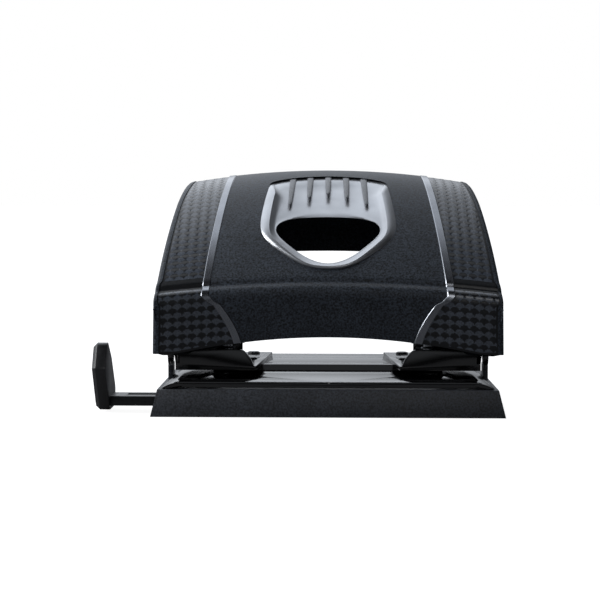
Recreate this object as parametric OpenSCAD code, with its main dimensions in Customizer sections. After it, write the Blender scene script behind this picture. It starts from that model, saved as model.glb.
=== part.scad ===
// Two-hole desk punch: a chip tray, a steel paper table with two punch brackets, and a wide
// moulded handle on a lever that turns on pins at the front and drives both punches.
// X runs along the punch, Y from front to back, Z up. The origin is the middle of the tray's foot.

/* [Punching] */
// Distance between the two punched holes
hole_pitch = 80; // [76:1:108]
// Distance from the paper's edge to the hole centres
hole_margin = 12; // [11:0.5:15]
// Diameter of the punched holes
punch_d = 5.5; // [4.5:0.1:6.6]
// Travel of the punches
stroke = 5.3; // [4.8:0.1:6]
// Height of the slot that takes the paper
slot_h = 2.4; // [2:0.1:3]

/* [Chip tray] */
// How far the tray reaches past each hole centre
tray_margin = 26; // [25.5:0.5:32]
// Depth of the tray, front to back
tray_d = 92; // [88:1:112]
// Height of the tray's rim
tray_h = 10; // [9:0.5:13]
// Thickness of the tray's moulded walls
tray_wall = 2; // [1.6:0.1:2.4]
// How far each tray wall leans in from foot to rim
tray_draft = 2.4; // [1.6:0.1:2.8]
// Diameter of the pins that the paper table tips up on
tray_pin_d = 3; // [2.4:0.1:3.4]

/* [Paper table] */
// Thickness of the table's sheet steel
sheet_t = 1.5; // [1.2:0.1:1.8]
// Height of the table above the tray's rim
table_lift = 2.7; // [2.6:0.1:4]
// Set-back of the table's front edge from the tray's foot
table_set = 3.9; // [3:0.1:5]
// Distance from the tray's front to the step that stops the paper
stop_set = 43.5; // [40:0.5:53]
// How far the raised platform reaches past each hole centre
platform_margin = 6; // [5:0.5:9]
// Radius of the bend that turns the table's ends down
end_bend = 15; // [13:0.5:18]

/* [Brackets] */
// Thickness of the bracket and lever steel
plate_t = 1.6; // [1.4:0.1:2]
// Height of a bracket from its flange to its guide plate
guide_h = 15.3; // [14:0.1:18.5]
// Reach of a bracket from the hole centre to its outer face
bracket_out = 18.7; // [17.5:0.1:19.5]
// Diameter of the rivets
rivet_d = 3; // [2.4:0.1:3.6]

/* [Lever] */
// Diameter of the handle's hinge pins
pivot_d = 4; // [3:0.1:4.8]
// Distance of the hinge pins in front of the punches
pivot_ahead = 15.5; // [15:0.1:18.6]
// Height of the press bar above the hinge pins
pad_rise = 7.3; // [7:0.1:8.8]
// Diameter of the cover's screws
screw_d = 2.8; // [2.2:0.1:3.4]

/* [Handle cover] */
// Depth of the cover, front to back
cover_d = 82.5; // [74:0.5:99]
// Height of the cover from its crease to its crown
cover_h = 46.6; // [39:0.1:56]
// Wall thickness of the cover
cover_t = 2.8; // [2.4:0.1:3.2]
// Depth of the front skirt below the crease, at its ends
skirt_h = 23.8; // [20:0.1:25]
// Rise of the arch along the skirt's lower edge
arch_rise = 6.5; // [4:0.1:8]
// Height of the rear wall's lower edge above the crease
rear_rise = 12.6; // [8:0.1:16]

/* [Window and trim] */
// Width of the window in the handle
window_w = 40.4; // [32:0.1:44]
// Height of the window's lowest point above the crease
window_low = 10.2; // [9.5:0.1:12]
// Height of the window's top edge above the crease
window_high = 27.4; // [24:0.1:32]
// Width of the frame around the window
frame_w = 6.2; // [5:0.1:8]
// Height of the trim's top corners above the crease
trim_high = 42; // [35.5:0.1:42.2]
// How far the trim's top edge rises further in its middle
trim_crown = 1.8; // [0.6:0.1:1.9]
// Depth of the pocket that the trim lies in
trim_t = 1.6; // [1.2:0.1:1.9]

/* [Paper guide] */
// Length of the guide rail
rail_len = 104; // [95:1:120]
// Width of the guide rail
rail_w = 11.7; // [9:0.1:14]
// Height of the guide rail
rail_h = 3.7; // [3:0.1:4.6]
// Gap between the tray's side and the paper stop
stop_gap = 16.8; // [14:0.1:30]
// Thickness of the paper stop
stop_t = 5.3; // [4.4:0.1:6.4]
// Height of the paper stop
stop_h = 27.2; // [22:0.1:32]

/* [Clearances] */
// Radial clearance of turning and sliding fits
running = 0.05; // [0.02:0.01:0.1]
// Gap between pieces that move past each other
gap = 0.3; // [0.3:0.05:0.5]

/* [Hidden] */
$fn = 48;
eps = 0.01;
far = 200;

// Plan of the base, measured from the tray's front edge
tray_w = hole_pitch + 2 * tray_margin;
front = -tray_d / 2;
punch_x = hole_pitch / 2;
punch_y = front + stop_set - hole_margin;
pivot_y = punch_y - pivot_ahead;
table_back = tray_d / 2 - 6.1;
table_flat = tray_w / 2 - 12;
platform_x = punch_x + platform_margin;
ear_x = tray_w / 2 - 4.7;
ear_y = front + 41;
ear_w = 8;
hinge_y = tray_d / 2 - 3.8;
hinge_z = tray_h - 2.6;
hinge_x = tray_w / 2 - 15;
cheek_t = 3;
tray_pin_half = sheet_t / 2 + gap + cheek_t - 0.2;

// Heights, each built on the one below it
table_z = tray_h + table_lift;
flange_z = table_z + slot_h;
flange_top = flange_z + plate_t;
guide_z = flange_z + guide_h;
pivot_z = guide_z + 0.6;
pad_z = pivot_z + pad_rise;
bar_top = pad_z + plate_t;
punch_tip = table_z - sheet_t - 1.2 + stroke;
punch_top = pad_z - gap;

// Bracket and lever across the punch, measured from the hole centre
clip_reach = 1.5;
ear_in = punch_d / 2 + clip_reach + gap + 0.25 + plate_t;
bracket_in = 12.3;
bracket_front = pivot_y + 6;
bracket_back = table_back - 9.4;
riser_y = punch_y + punch_d / 2 + clip_reach + 0.25;
rivet_y = riser_y + 7.5;
arm_out = bracket_out + gap;
arm_in = ear_in + gap;
rivet_spots = [[9, 6.9], [9, 29.5], [-1, 18]];
screw_spots = [[punch_x - 13, punch_y - 1.5], [punch_x + 6, punch_y + 18.5]];

// Springs and their clips
clip_t = 0.8;
clip_top = guide_z - plate_t - gap;
wire_d = 0.8;
coil_r = punch_d / 2 + wire_d / 2 + 0.35;
coil_turns = 6;

// Handle cover, measured back from its skirt and up from its crease
cover_front = pivot_y - 8;
crease_z = pad_z + 8.1;
cover_half = punch_x + arm_out + plate_t + 2.7 + cover_t;
crown_low = 1 / (2 * 600);
crown_high = 1 / (2 * 340);
shoulder = [[0, -0.9], [0.2, 1.2], [0.9, 2.6], [1.8, 3.2]];
panel_curve = [[2.6, 3.1], [0.24 * cover_d, 0.49 * cover_h], [0.53 * cover_d, cover_h],
               [0.87 * cover_d, cover_h]];
rear_curve = [[0.87 * cover_d, cover_h], [0.97 * cover_d, cover_h], [0.994 * cover_d, 0.9 * cover_h],
              [cover_d, rear_rise]];
cover_slices = 16;
bend_depth = 2;

// Rail and stop of the paper guide
rail_y = front + 12.6;
rail_z = tray_wall + 0.4;
stop_x = -tray_w / 2 - stop_gap;

// ---- Outline helpers ----

function unit(v) = v / norm(v);

// Arc that rounds the corner at p between the neighbours a and b
function corner(a, p, b, r, steps = 6) =
    let (u = unit(a - p), w = unit(b - p), half = acos(max(-1, min(1, u * w))) / 2)
    let (c = p + unit(u + w) * r / sin(half))
    let (s = p + u * r / tan(half) - c, e = p + w * r / tan(half) - c)
    let (start = atan2(s.y, s.x), turn = (atan2(e.y, e.x) - start + 900) % 360 - 180)
    r == 0 ? [p] : [for (i = [0:steps]) c + r * [cos(start + turn * i / steps), sin(start + turn * i / steps)]];

// Closed outline with every corner rounded; radii holds one radius per point
function rounded(points, radii) =
    let (n = len(points))
    [for (i = [0:n - 1]) each corner(points[(i + n - 1) % n], points[i], points[(i + 1) % n], radii[i])];

function bezier(c, t) =
    pow(1 - t, 3) * c[0] + 3 * t * pow(1 - t, 2) * c[1] + 3 * t * t * (1 - t) * c[2] + pow(t, 3) * c[3];

function curve(c, steps) = [for (i = [0:steps]) bezier(c, i / steps)];

function mirrored(half) = concat(half, [for (i = [len(half) - 1:-1:0]) [-half[i].x, half[i].y]]);

// Open path moved sideways by d, to the right of its direction
function inset(path, d) =
    let (n = len(path))
    [for (i = [0:n - 1])
        let (along = unit(path[min(i + 1, n - 1)] - path[max(i - 1, 0)]))
        path[i] + d * [along.y, -along.x]];

// Plate that lies in the YZ plane, from x = at to x = at + t
module side_plate(at, t) {
    translate([at, 0, 0])
        rotate([90, 0, 90])
            linear_extrude(t)
                children();
}

// Plate that lies in the XZ plane, from y = at to y = at + t
module front_plate(at, t) {
    translate([0, at + t, 0])
        rotate([90, 0, 0])
            linear_extrude(t)
                children();
}

module pin_x(from, to, d) {
    translate([from, 0, 0])
        rotate([0, 90, 0])
            cylinder(h = to - from, d = d);
}

// ---- Chip tray ----

// Box whose walls lean in by tray_draft from z = 0 to the rim
module leaning_box(shrink, floor_z) {
    foot_x = tray_w / 2 - shrink;
    foot_y = tray_d / 2 - shrink;
    top = tray_h + (shrink > 0 ? eps : 0);
    lean = tray_draft * top / tray_h;
    intersection() {
        front_plate(-far, 2 * far)
            polygon([[-foot_x, 0], [foot_x, 0], [foot_x - lean, top], [lean - foot_x, top]]);
        side_plate(-far, 2 * far)
            polygon([[-foot_y, 0], [foot_y, 0], [foot_y - lean, top], [lean - foot_y, top]]);
        translate([-far, -far, floor_z])
            cube([2 * far, 2 * far, far]);
    }
}

module tray_hinge_block() {
    block_w = 2 * (sheet_t / 2 + gap + cheek_t);
    translate([hinge_x - block_w / 2, hinge_y - 4, tray_wall - eps])
        cube([block_w, 4 + tray_wall / 2, tray_h - tray_wall]);
}

module tray_hinge_slot() {
    slot_w = sheet_t + 2 * gap;
    translate([hinge_x - slot_w / 2, hinge_y - 5, hinge_z - 3.4])
        cube([slot_w, far, far]);
    translate([0, hinge_y, hinge_z])
        pin_x(hinge_x - tray_pin_half, hinge_x + tray_pin_half, tray_pin_d);
}

module rail_fence() {
    for (y = [rail_y - gap - tray_wall / 2, rail_y + rail_w + gap])
        translate([-tray_w / 2 + tray_draft, y, tray_wall - eps])
            cube([tray_w / 2, tray_wall / 2, rail_h + 1]);
}

module chip_tray() {
    color("#2b2c2e")
    difference() {
        union() {
            difference() {
                leaning_box(0, 0);
                leaning_box(tray_wall, tray_wall);
            }
            intersection() {
                leaning_box(0, 0);
                for (side = [0, 1])
                    mirror([side, 0, 0])
                        tray_hinge_block();
            }
            rail_fence();
            for (side = [0, 1])
                mirror([side, 0, 0])
                    side_plate(ear_x, 1.8)
                        polygon(rounded([[ear_y - ear_w / 2, tray_h - 3], [ear_y + ear_w / 2, tray_h - 3],
                                         [ear_y + ear_w / 2, tray_h + 6.4], [ear_y - ear_w / 2, tray_h + 6.4]],
                                        [0, 0, 1.5, 1.5]));
        }
        for (side = [0, 1])
            mirror([side, 0, 0])
                tray_hinge_slot();
        translate([-tray_w / 2 - eps, rail_y - gap, rail_z - gap])
            cube([tray_wall + tray_draft + 2 * eps, rail_w + 2 * gap, rail_h + 2 * gap]);
    }
}

module tray_hinge_pins() {
    color("#b9bcc0")
    for (side = [0, 1])
        mirror([side, 0, 0])
            translate([0, hinge_y, hinge_z])
                pin_x(hinge_x - tray_pin_half, hinge_x + tray_pin_half, tray_pin_d);
}

// ---- Paper table ----

module table_outline(t) {
    drop = end_bend - t;
    square_w = 2 * table_flat;
    translate([-table_flat, table_z - t])
        square([square_w, t]);
    for (side = [0, 1])
        mirror([side, 0])
            intersection() {
                translate([table_flat, table_z - end_bend])
                    difference() {
                        circle(end_bend, $fn = 96);
                        circle(drop, $fn = 96);
                    }
                translate([table_flat - eps, tray_h + gap])
                    square([end_bend, end_bend]);
            }
}

module platform_plan(shrink) {
    back = table_back - front - stop_set - shrink + (shrink > 0 ? far : 0);
    width = 2 * (platform_x - shrink);
    translate([-width / 2, front + stop_set + shrink])
        polygon(rounded([[0, 0], [width, 0], [width, back], [0, back]], [2, 2, 0, 0]));
}

module hinge_tab() {
    side_plate(hinge_x - sheet_t / 2, sheet_t)
        difference() {
            union() {
                translate([hinge_y, hinge_z])
                    circle(2.6);
                polygon([[hinge_y - 2.6, hinge_z], [hinge_y + 2.6, hinge_z], [table_back, table_z],
                         [table_back - 8, table_z], [table_back - 8, table_z - sheet_t]]);
            }
            translate([hinge_y, hinge_z])
                circle(tray_pin_d / 2 + running);
        }
}

module base_plate() {
    color("#17181a")
    difference() {
        union() {
            difference() {
                front_plate(front + table_set, table_back - front - table_set)
                    table_outline(sheet_t);
                translate([0, 0, table_z - far])
                    linear_extrude(far + eps)
                        platform_plan(sheet_t);
            }
            translate([-table_flat, front + table_set, tray_h + 2 * gap])
                cube([2 * table_flat, sheet_t, table_lift - sheet_t]);
            difference() {
                translate([0, 0, table_z - sheet_t])
                    linear_extrude(slot_h + sheet_t)
                        platform_plan(0);
                translate([0, 0, table_z - sheet_t - eps])
                    linear_extrude(slot_h + eps)
                        platform_plan(sheet_t);
            }
            for (side = [0, 1])
                mirror([side, 0, 0])
                    hinge_tab();
        }
        for (side = [0, 1])
            mirror([side, 0, 0]) {
                translate([punch_x, punch_y, 0])
                    cylinder(h = far, d = punch_d + 2 * running);
                translate([ear_x - gap - 0.1, ear_y - ear_w / 2 - 1.2, 0])
                    cube([far, ear_w + 2.4, far]);
                rivet_holes();
            }
        translate([0, front + table_set, table_z])
            sphere(d = 1.6, $fn = 24);
    }
}

// ---- Punch brackets ----

module rivet_holes() {
    for (spot = rivet_spots)
        translate([punch_x - spot.x, rivet_y + spot.y, 0])
            cylinder(h = far, d = rivet_d);
}

module bracket_ear_outline() {
    difference() {
        union() {
            translate([pivot_y, pivot_z])
                circle(4.6);
            polygon([[pivot_y - 4.2, pivot_z - 2], [bracket_front, flange_top + 1], [bracket_front, flange_z],
                     [riser_y + plate_t + 8, flange_z], [riser_y + plate_t, flange_top + 5],
                     [riser_y + plate_t, guide_z], [pivot_y, guide_z + 4.6]]);
        }
        translate([pivot_y, pivot_z])
            circle(pivot_d / 2);
    }
}

module inner_ear_outline() {
    difference() {
        union() {
            translate([pivot_y, pivot_z])
                circle(4.6);
            polygon([[pivot_y - 2, pivot_z - 4.1], [bracket_front, guide_z - 5], [riser_y, guide_z - 5],
                     [riser_y, guide_z], [bracket_front + 2, guide_z], [pivot_y, pivot_z + 4.6]]);
        }
        translate([pivot_y, pivot_z])
            circle(pivot_d / 2);
    }
}

// Front wall of a bracket, with the shoulder at its inner end
module front_lip_outline() {
    polygon(rounded([[punch_x - bracket_in, flange_z], [punch_x + bracket_out, flange_z],
                     [punch_x + bracket_out, flange_z + 8], [punch_x - 7.4, flange_z + 8],
                     [punch_x - 10.2, flange_z + 4.6]], [0, 0, 1, 3, 3]));
}

module right_bracket() {
    outer = punch_x + bracket_out;
    inner = punch_x - ear_in;
    color("#1b1c1e")
    difference() {
        union() {
            translate([0, 0, flange_z])
                linear_extrude(plate_t)
                    polygon([[punch_x - bracket_in, bracket_front], [outer, bracket_front],
                             [outer, riser_y + plate_t + 8], [outer - 12, bracket_back],
                             [punch_x - 16.6, bracket_back]]);
            side_plate(outer - plate_t, plate_t)
                bracket_ear_outline();
            side_plate(inner, plate_t)
                inner_ear_outline();
            front_plate(bracket_front, plate_t)
                front_lip_outline();
            translate([inner, riser_y, flange_top - eps])
                cube([outer - inner, plate_t, guide_h - plate_t + eps]);
            translate([inner, bracket_front + 2, guide_z - plate_t])
                cube([outer - inner, riser_y + plate_t - bracket_front - 2, plate_t]);
        }
        translate([punch_x, punch_y, 0])
            cylinder(h = far, d = punch_d + 2 * running);
        rivet_holes();
    }
}

module left_bracket() {
    mirror([1, 0, 0])
        right_bracket();
}

module bracket_rivets() {
    plate_bottom = flange_z - sheet_t;
    head_t = 0.4;
    crown_t = 0.2;
    color("#3a3b3e")
    for (side = [0, 1])
        mirror([side, 0, 0])
            for (spot = rivet_spots)
                translate([punch_x - spot.x, rivet_y + spot.y, 0]) {
                    translate([0, 0, plate_bottom - 0.8])
                        cylinder(h = 0.8, d = rivet_d + 2);
                    translate([0, 0, plate_bottom])
                        cylinder(h = sheet_t + plate_t, d = rivet_d);
                    translate([0, 0, flange_top])
                        cylinder(h = head_t, d = rivet_d + 2);
                    translate([0, 0, flange_top + head_t])
                        cylinder(h = crown_t, d = rivet_d + 1);
                }
}

// ---- Punches, springs and clips ----

module right_punch() {
    shoulder = punch_top - punch_d / 2;
    color("#c9ccd0")
    translate([punch_x, punch_y, 0])
        difference() {
            union() {
                translate([0, 0, punch_tip])
                    cylinder(h = shoulder - punch_tip, d = punch_d);
                translate([0, 0, shoulder])
                    sphere(d = punch_d);
            }
            translate([0, 0, clip_top - clip_t])
                difference() {
                    cylinder(h = clip_t, d = punch_d + 1);
                    translate([0, 0, -1])
                        cylinder(h = clip_t + 2, d = punch_d - 0.8);
                }
            translate([0, -far / 2, punch_tip - 3.4])
                rotate([-90, 0, 0])
                    cylinder(h = far, r = 4.4);
        }
}

module left_punch() {
    mirror([1, 0, 0])
        right_punch();
}

// Snap ring that holds the spring on its punch; its mouth faces the back
module right_punch_clip() {
    color("#5b5d61")
    translate([punch_x, punch_y, clip_top - clip_t])
        difference() {
            cylinder(h = clip_t, d = punch_d + 2 * clip_reach);
            translate([0, 0, -1])
                cylinder(h = clip_t + 2, d = punch_d - 0.8);
            translate([-1.6, 0, -1])
                cube([3.2, far, clip_t + 2]);
        }
}

module left_punch_clip() {
    mirror([1, 0, 0])
        right_punch_clip();
}

// Coil from the bracket's flange up to the clip, one six-sided ring of points per step
module right_spring() {
    steps = 14 * coil_turns;
    sides = 6;
    low = flange_top + wire_d / 2;
    rise = clip_top - clip_t - wire_d / 2 - low;
    function ring(i) =
        let (a = 360 * coil_turns * i / steps)
        [for (k = [0:sides - 1])
            let (r = coil_r + wire_d / 2 * cos(60 * k))
            [r * cos(a), r * sin(a), low + rise * i / steps + wire_d / 2 * sin(60 * k)]];
    color("#a9adb3")
    translate([punch_x, punch_y, 0])
        polyhedron(
            points = [for (i = [0:steps]) each ring(i)],
            faces = concat(
                [[for (k = [0:sides - 1]) k]],
                [[for (k = [sides - 1:-1:0]) steps * sides + k]],
                [for (i = [0:steps - 1]) for (k = [0:sides - 1])
                    let (a = i * sides + k, b = i * sides + (k + 1) % sides)
                    each [[a, a + sides, b], [b, a + sides, b + sides]]]));
}

module left_spring() {
    mirror([1, 0, 0])
        right_spring();
}

// ---- Hinge pins and lever ----

module right_hinge_pin() {
    arm_face = punch_x + arm_out + plate_t;
    inner_face = punch_x - arm_in - plate_t;
    color("#b9bcc0")
    translate([0, pivot_y, pivot_z]) {
        pin_x(inner_face - gap, arm_face + gap, pivot_d);
        pin_x(arm_face + gap, arm_face + gap + 1, pivot_d + 2);
        pin_x(inner_face - gap - 0.8, inner_face - gap, pivot_d + 1.4);
    }
}

module left_hinge_pin() {
    mirror([1, 0, 0])
        right_hinge_pin();
}

// Lever cheek, from a rounded foot, that far below the hinge pin, up to the press bar
module arm_outline(foot) {
    end_r = 4.8;
    heel = pivot_y + 0.8;
    difference() {
        union() {
            translate([pivot_y, pivot_z])
                circle(end_r);
            translate([heel, pivot_z - foot])
                circle(end_r);
            polygon([[heel - end_r, pivot_z - foot], [heel + end_r, pivot_z - foot],
                     [punch_y + 8.5, pad_z - 4], [punch_y + 8.5, bar_top], [pivot_y + 8, bar_top],
                     [heel - end_r, pivot_z + 2.6]]);
        }
        translate([pivot_y, pivot_z])
            circle(pivot_d / 2 + running);
    }
}

module lever_frame() {
    outer = punch_x + arm_out + plate_t;
    inner = punch_x - arm_in - plate_t;
    bar_front = punch_y - 7.5;
    bar_back = punch_y + 6.5;
    tail_len = 18.5;
    tail_w = 16;
    color("#202124")
    difference() {
        union() {
            translate([-outer, bar_front, pad_z])
                cube([2 * outer, bar_back - bar_front, plate_t]);
            for (side = [0, 1])
                mirror([side, 0, 0]) {
                    side_plate(outer - plate_t, plate_t)
                        arm_outline(8.6);
                    side_plate(inner, plate_t)
                        arm_outline(0);
                    translate([punch_x - 2, bar_back - eps, pad_z])
                        cube([tail_w, tail_len, plate_t]);
                }
        }
        for (side = [0, 1])
            mirror([side, 0, 0])
                for (spot = screw_spots)
                    translate([spot.x, spot.y, 0])
                        cylinder(h = far, d = screw_d + 0.4);
    }
}

// ---- Handle cover ----

function crown_drop(x, h) =
    x * x * (crown_low + (crown_high - crown_low) * max(0, min(1, h / cover_h)));

// Section of the cover from the skirt's foot to the rear wall's foot, moved in by wall; deep inside,
// the shoulder's bend is left out, as it would fold over itself
function cover_section(wall) =
    let (bend = wall < bend_depth ? shoulder : [shoulder[0]])
    let (run = concat([[0, -40]], bend, curve(panel_curve, 14), [for (i = [1:7]) bezier(rear_curve, i / 7)]))
    let (path = inset(run, wall))
    concat(path, [[path[len(path) - 1].x, -40]]);

// Solid with the given section, bowed downwards towards both ends
module crowned(section) {
    reach = cover_half + 2;
    m = len(section);
    path = [for (i = [m - 1:-1:0]) section[i]];
    polyhedron(
        points = [for (i = [0:cover_slices]) let (x = -reach + 2 * reach * i / cover_slices)
            for (p = path) [x, cover_front + p.x, crease_z + p.y - crown_drop(x, p.y)]],
        faces = concat(
            [[for (j = [0:m - 1]) j]],
            [[for (j = [m - 1:-1:0]) cover_slices * m + j]],
            [for (i = [0:cover_slices - 1]) for (j = [0:m - 1])
                let (a = i * m + j, b = i * m + (j + 1) % m)
                each [[a, a + m, b + m], [a, b + m, b]]]));
}

// Front view of the cover: flaring sides, rounded shoulders and an arched lower edge
module cover_outline(wall, foot) {
    half = cover_half - wall;
    arch_x = cover_half - 9;
    sides = rounded([[half, foot], [half - 0.4, -1.4], [half - 2.6, 0.47 * cover_h],
                     [half - 5.4, 0.88 * cover_h], [half - 12, cover_h], [half - 14, cover_h + 10],
                     [0, cover_h + 10]], [0, 0, 0, 4, 0, 0, 0]);
    arch = [for (i = [0:12]) let (x = arch_x * i / 12) [x, foot + arch_rise * (1 - pow(x / arch_x, 2))]];
    translate([0, crease_z])
        polygon(mirrored(concat(wall > 0 ? [] : arch, sides)));
}

module cover_cavity() {
    intersection() {
        crowned(cover_section(cover_t));
        front_plate(-far, 2 * far)
            cover_outline(cover_t, -skirt_h - 20);
    }
}

// Everything above the sloping lower edge of the side walls
module above_side_edge() {
    side_plate(-far, 2 * far)
        translate([cover_front, crease_z])
            polygon([[-5, -40], [cover_t + 0.4, -40], [cover_t + 0.4, -skirt_h],
                     [cover_d - cover_t - 2, rear_rise], [cover_d + 5, rear_rise],
                     [cover_d + 5, cover_h + 10], [-5, cover_h + 10]]);
}

module window_outline() {
    half = window_w / 2;
    tall = window_high - window_low;
    right = concat(
        curve([[0, window_low], [0.22 * half, window_low], [0.44 * half, window_low + 0.116 * tall],
               [0.65 * half, window_low + 0.297 * tall]], 5),
        curve([[0.68 * half, window_low + 0.324 * tall], [0.86 * half, window_low + 0.48 * tall],
               [half, window_low + 0.605 * tall], [half, window_low + 0.72 * tall]], 5),
        curve([[half, window_low + 0.74 * tall], [half, window_low + 0.884 * tall],
               [0.81 * half, window_high], [0.08 * half, window_high]], 7));
    translate([0, crease_z])
        polygon(mirrored(right));
}

module trim_outline() {
    half = window_w / 2 + frame_w;
    low = window_low - 2.3;
    mid = window_high - 2.8;
    right = concat(
        curve([[0, low], [0.3 * half, low], [0.45 * half, low + 2], [0.8 * half, low + 8.4]], 6),
        curve([[0.86 * half, low + 9.8], [0.97 * half, low + 12], [half, mid - 2], [half, mid]], 5),
        curve([[half, mid + 1], [half, mid + 4], [0.93 * half, trim_high - 4], [0.89 * half, trim_high - 1.4]], 4),
        curve([[0.88 * half, trim_high - 1], [0.85 * half, trim_high], [0.5 * half, trim_high + trim_crown],
               [0.08 * half, trim_high + trim_crown]], 5));
    translate([0, crease_z])
        polygon(mirrored(right));
}

module screw_bosses() {
    for (side = [0, 1])
        mirror([side, 0, 0])
            for (spot = screw_spots)
                translate([spot.x, spot.y, bar_top])
                    cylinder(h = far, d = screw_d + 4.2, $fn = 24);
}

module handle_cover() {
    color("#3a3c40")
    difference() {
        union() {
            difference() {
                intersection() {
                    crowned(cover_section(0));
                    front_plate(-far, 2 * far)
                        cover_outline(0, -skirt_h);
                    above_side_edge();
                }
                cover_cavity();
            }
            intersection() {
                crowned(cover_section(cover_t / 2));
                screw_bosses();
            }
        }
        for (side = [0, 1])
            mirror([side, 0, 0])
                for (spot = screw_spots)
                    translate([spot.x, spot.y, bar_top - 1])
                        cylinder(h = 11, d = screw_d + 0.1, $fn = 24);
        difference() {
            front_plate(cover_front, 0.8 * cover_d)
                trim_outline();
            crowned(cover_section(trim_t));
        }
        front_plate(cover_front - 1, 0.7 * cover_d)
            window_outline();
    }
}

// Satin frame around the window; it lies in the cover's pocket, a little below its surface
module window_trim() {
    color("#8d9095")
    difference() {
        intersection() {
            front_plate(cover_front, 0.8 * cover_d)
                trim_outline();
            crowned(cover_section(0.3));
        }
        crowned(cover_section(trim_t));
        front_plate(cover_front - 1, 0.7 * cover_d)
            window_outline();
    }
}

module cover_screws() {
    head_h = 1.8;
    color("#b9bcc0")
    for (side = [0, 1])
        mirror([side, 0, 0])
            for (spot = screw_spots)
                translate([spot.x, spot.y, 0]) {
                    translate([0, 0, pad_z - head_h])
                        difference() {
                            cylinder(h = head_h, d = screw_d + 2.8);
                            for (turn = [0, 90])
                                rotate([0, 0, turn])
                                    translate([-1.5, -0.3, -eps])
                                        cube([3, 0.6, 1 + eps]);
                        }
                    translate([0, 0, pad_z])
                        cylinder(h = plate_t + 8, d = screw_d);
                }
}

// ---- Paper guide ----

module guide_rail() {
    color("#242527")
    difference() {
        translate([stop_x - 2, rail_y, rail_z])
            cube([rail_len, rail_w, rail_h]);
        translate([stop_x + 6, rail_y + 2, rail_z + rail_h - 0.6])
            cube([rail_len - 14, rail_w - 4, 1]);
    }
}

// Outline of the paper stop, measured back from the tray's front and up from its own foot
module stop_outline(shrink) {
    points = [[2 + shrink, 16.6], [8.4, stop_h - shrink], [18.6, 0.72 * stop_h - shrink],
              [28.6 - shrink, 0.25 * stop_h], [27, shrink], [12.6, shrink]];
    translate([front, 0.8])
        polygon(rounded(points, [1.5, 2.5, 14, 3, 1, 2]));
}

module paper_stop() {
    color("#242527")
    difference() {
        side_plate(stop_x - stop_t, stop_t)
            stop_outline(0);
        side_plate(stop_x - stop_t - 1, 1.8)
            stop_outline(2.2);
        translate([stop_x - 2, rail_y, rail_z])
            cube([far, rail_w, rail_h]);
    }
}

chip_tray();
tray_hinge_pins();
base_plate();
left_bracket();
right_bracket();
bracket_rivets();
left_punch();
right_punch();
left_spring();
right_spring();
left_punch_clip();
right_punch_clip();
left_hinge_pin();
right_hinge_pin();
lever_frame();
handle_cover();
window_trim();
cover_screws();
guide_rail();
paper_stop();
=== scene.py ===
import math

import bpy
import numpy as np
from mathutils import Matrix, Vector


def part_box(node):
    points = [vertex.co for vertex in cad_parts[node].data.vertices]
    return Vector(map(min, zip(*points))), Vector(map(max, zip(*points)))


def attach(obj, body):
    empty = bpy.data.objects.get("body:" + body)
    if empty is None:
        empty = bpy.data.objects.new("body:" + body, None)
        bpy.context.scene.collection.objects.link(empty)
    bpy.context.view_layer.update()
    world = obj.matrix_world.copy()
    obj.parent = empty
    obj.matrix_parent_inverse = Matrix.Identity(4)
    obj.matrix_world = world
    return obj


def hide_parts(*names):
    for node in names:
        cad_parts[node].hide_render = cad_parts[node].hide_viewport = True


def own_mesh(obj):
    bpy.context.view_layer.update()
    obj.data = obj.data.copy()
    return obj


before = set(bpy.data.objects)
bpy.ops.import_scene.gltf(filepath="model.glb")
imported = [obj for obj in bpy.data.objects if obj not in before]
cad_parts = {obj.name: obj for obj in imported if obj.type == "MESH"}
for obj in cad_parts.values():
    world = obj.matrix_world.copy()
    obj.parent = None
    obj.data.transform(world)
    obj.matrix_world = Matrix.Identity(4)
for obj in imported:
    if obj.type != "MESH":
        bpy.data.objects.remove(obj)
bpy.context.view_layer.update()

MM = 0.001

# ---------------------------------------------------------------- sizes of the handle cover

COVER_LOW, COVER_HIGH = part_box("handle_cover")
SKIRT_Y = COVER_LOW.y
HALF_W = COVER_HIGH.x / MM
DEPTH = (COVER_HIGH.y - COVER_LOW.y) / MM
RISE = 46.6                                  # crease to crown
CREASE = COVER_HIGH.z - RISE * MM
SKIRT = 23.8                                 # crease down to the skirt's foot at its ends
SKIRT_TOP = -2.4                             # where the skirt starts to round over
ARCH = 6.5                                   # rise of the skirt's foot in its middle
ARCH_HALF = HALF_W - 9
REAR_FOOT = 12.6
WALL = 2.8
SHELL = 2.0                                  # thickness drawn, so that the groove's inside stays clean
BAND_HALF = 1.5
BAND_LIFT = 0.22                             # height of the band's flat face over the panel
BOW_LOW, BOW_HIGH = 1 / 1200, 1 / 680        # how fast the cover falls away sideways, low and high up
GRIP_SUNK = 0.6
MARGIN = 0.7                                 # plain rim outside a grip panel


def bezier(points, steps):
    """Points along a cubic curve, both ends included."""
    p = np.array(points, float)
    t = np.linspace(0, 1, steps + 1)[:, None]
    return (1 - t) ** 3 * p[0] + 3 * t * (1 - t) ** 2 * p[1] + 3 * t * t * (1 - t) * p[2] + t ** 3 * p[3]


def smooth(low, high, x):
    t = min(1.0, max(0.0, (x - low) / (high - low)))
    return t * t * (3 - 2 * t)


def mix(a, b, t):
    return a + (b - a) * t


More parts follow.
